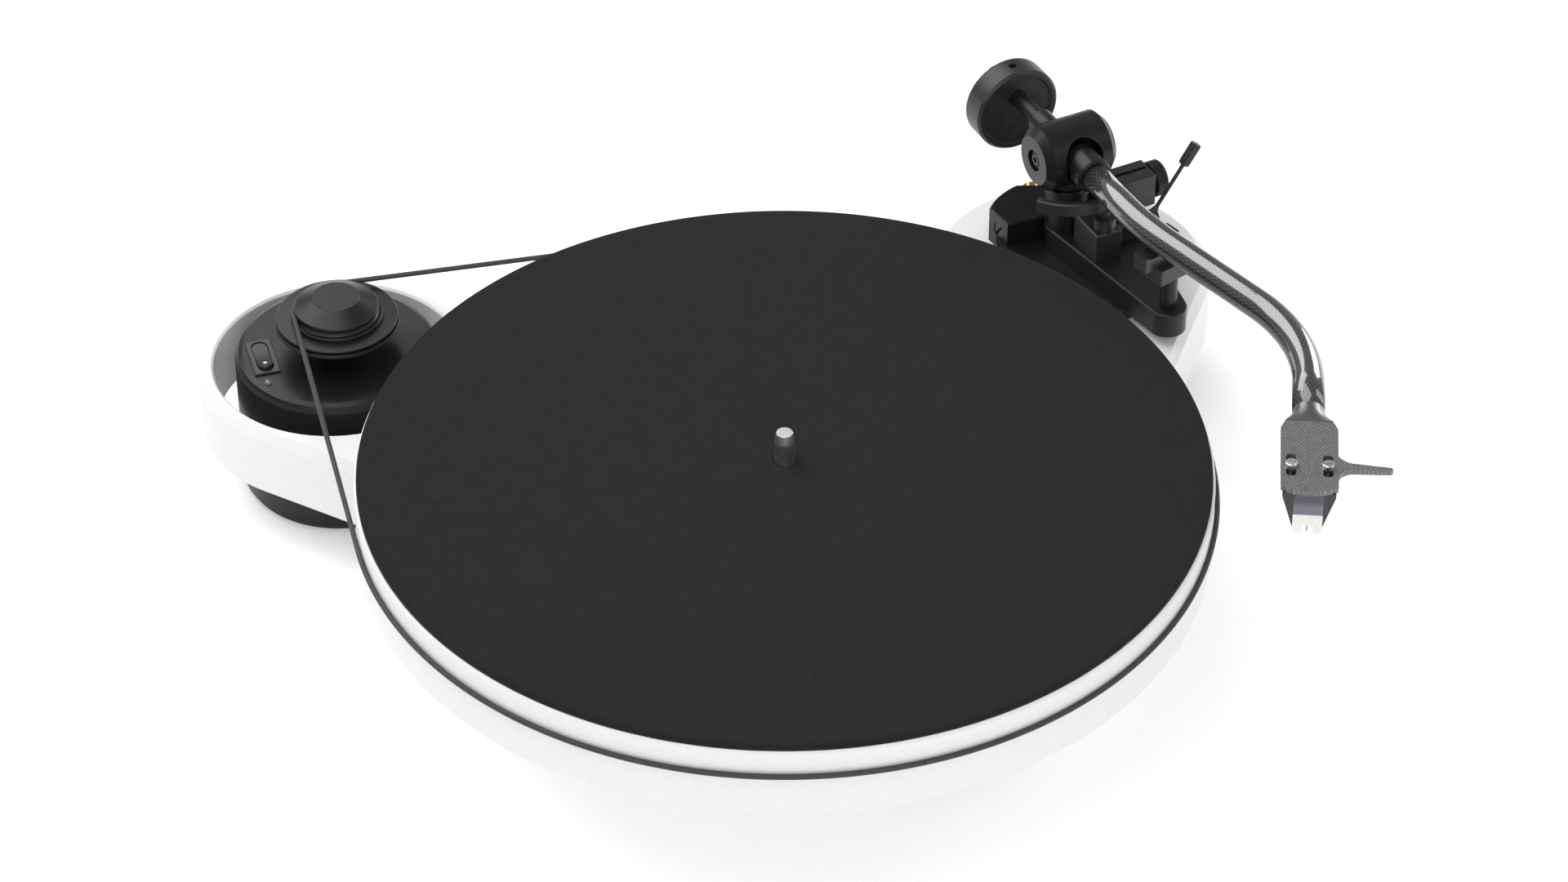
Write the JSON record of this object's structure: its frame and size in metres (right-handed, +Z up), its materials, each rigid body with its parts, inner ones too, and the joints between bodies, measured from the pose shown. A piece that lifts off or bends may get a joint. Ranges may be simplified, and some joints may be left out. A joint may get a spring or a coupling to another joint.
{
  "type": "turntable record player",
  "caption": "Belt-driven record player with a curved plinth, free-standing motor unit, MDF platter and S-shaped carbon tonearm.",
  "frame": {"origin": "middle of the whole player's footprint, on the surface it stands on", "axes": "+X to the player's right, towards the tonearm; +Y to the back; +Z up, along the record spindle"},
  "size_m": [0.4247, 0.373, 0.1125],
  "materials": {
    "lacquer": "satin",
    "felt": "matte",
    "black_aluminium": "satin",
    "grey_aluminium": "satin",
    "bright_steel": "polished",
    "blackened_steel": "satin",
    "bearing_bronze": "satin",
    "ceramic_ball": "gloss",
    "black_plastic": "matte",
    "belt_rubber": "matte",
    "foot_rubber": "matte",
    "carbon_gloss": "gloss",
    "carbon_satin": "satin",
    "copper_winding": "satin",
    "board_green": "satin",
    "led_lens": "gloss",
    "cartridge_black": "gloss",
    "cartridge_grey": "satin",
    "cream_plastic": "satin",
    "gold_contact": "polished"
  },
  "bodies": {
    "base": {"plinth": "lacquer", "foot_cones": "black_aluminium", "foot_pads": "foot_rubber", "foot_studs": "bright_steel", "bearing_flange": "black_aluminium", "bearing_screws": "blackened_steel", "bearing_shaft": "bright_steel", "bearing_ball": "ceramic_ball", "motor_housing": "black_aluminium", "motor_base": "black_aluminium", "motor_pad": "foot_rubber", "power_socket": "black_plastic", "circuit_board": "board_green", "power_led": "led_lens", "switch_bezel": "black_plastic", "motor_can": "bright_steel", "motor_coil": "copper_winding", "motor_bushes": "bearing_bronze", "drive_belt": "belt_rubber", "arm_base": "black_aluminium", "base_lock_screw": "blackened_steel", "arm_base_screws": "blackened_steel", "phono_sockets": "gold_contact", "ground_terminal": "gold_contact", "rest_post": "black_aluminium", "rest_clip": "black_plastic", "lift_housing": "black_plastic", "antiskate_block": "black_plastic"},
    "platter_body": {"platter": "lacquer", "platter_hub": "bearing_bronze", "record_spindle": "bright_steel", "felt_mat": "felt"},
    "pulley_body": {"pulley": "grey_aluminium", "motor_shaft": "bright_steel", "motor_rotor": "blackened_steel"},
    "rocker_body": {"power_rocker": "black_plastic"},
    "pillar_body": {"arm_pillar": "black_aluminium", "pivot_bearings": "bright_steel"},
    "yoke_body": {"arm_yoke": "black_aluminium", "pivot_shaft": "bright_steel", "pivot_screws": "blackened_steel"},
    "arm_body": {"arm_tube": "carbon_gloss", "arm_block": "black_aluminium", "tube_collar": "black_aluminium", "rear_stub": "black_aluminium", "headshell": "carbon_satin", "cartridge_body": "cartridge_black", "cartridge_panel": "cartridge_grey", "cartridge_screws": "bright_steel", "cartridge_pins": "gold_contact", "stylus_holder": "cream_plastic"},
    "weight_body": {"counterweight": "blackened_steel", "counterweight_screw": "blackened_steel"},
    "stylus_body": {"stylus_cantilever": "bright_steel"},
    "lever_body": {"lift_lever": "blackened_steel", "lift_knob": "black_plastic"},
    "lift_body": {"lift_bar": "black_plastic", "lift_piston": "blackened_steel"},
    "skate_knob_body": {"antiskate_knob": "black_aluminium"},
    "skate_pointer_body": {"antiskate_pointer": "blackened_steel"}
  },
  "joints": [
    {"name": "platter_spin", "type": "hinge", "parent": "base", "child": "platter_body", "pos_m": [0.004, -0.0339, 0.056], "axis": [0, 0, -1], "continuous": true},
    {"name": "pulley_spin", "type": "hinge", "parent": "base", "child": "pulley_body", "pos_m": [-0.16, 0.0691, 0.06], "axis": [0, 0, -1], "continuous": true},
    {"name": "power_switch", "type": "hinge", "parent": "base", "child": "rocker_body", "pos_m": [-0.18746, 0.06126, 0.0574], "axis": [-0.9588, -0.284, 0], "range_deg": [-12, 0]},
    {"name": "arm_height", "type": "slide", "parent": "base", "child": "pillar_body", "axis": [0, 0, 1], "range_m": [0, 0.004]},
    {"name": "arm_swing", "type": "hinge", "parent": "pillar_body", "child": "yoke_body", "pos_m": [0.11, 0.1341, 0.086], "axis": [0, 0, -1], "range_deg": [0, 38]},
    {"name": "arm_tilt", "type": "hinge", "parent": "yoke_body", "child": "arm_body", "pos_m": [0.11, 0.1341, 0.1], "axis": [-0.8886, -0.4587, 0], "range_deg": [0, 15]},
    {"name": "counterweight_slide", "type": "slide", "parent": "arm_body", "child": "weight_body", "axis": [-0.4587, 0.8886, 0], "range_m": [-0.005, 0.007]},
    {"name": "stylus_flex", "type": "hinge", "parent": "arm_body", "child": "stylus_body", "pos_m": [0.18361, -0.06268, 0.09005], "axis": [-0.9969, 0.0785, 0], "range_deg": [-0.8, 3], "stiffness_Nm_per_rad": 0.004},
    {"name": "lift_lever", "type": "hinge", "parent": "base", "child": "lever_body", "pos_m": [0.14136, 0.13003, 0.072], "axis": [0.8886, 0.4587, 0], "range_deg": [0, 60]},
    {"name": "lift_bar_rise", "type": "slide", "parent": "base", "child": "lift_body", "axis": [0, 0, 1], "range_m": [0, 0.0017]},
    {"name": "antiskate_dial", "type": "hinge", "parent": "base", "child": "skate_knob_body", "pos_m": [0.14377, 0.15153, 0.0745], "axis": [0.8886, 0.4587, 0], "range_deg": [-150, 150]},
    {"name": "antiskate_shift", "type": "slide", "parent": "base", "child": "skate_pointer_body", "axis": [0.8886, 0.4587, 0], "range_m": [-0.0045, 0.0045]}
  ],
  "couplings": [
    {"joint": "pulley_spin", "follows": "platter_spin", "ratio": 9.5426},
    {"joint": "lift_lever", "follows": "lift_bar_rise", "rad_per_m": 612},
    {"joint": "antiskate_dial", "follows": "antiskate_shift", "rad_per_m": 578}
  ]
}
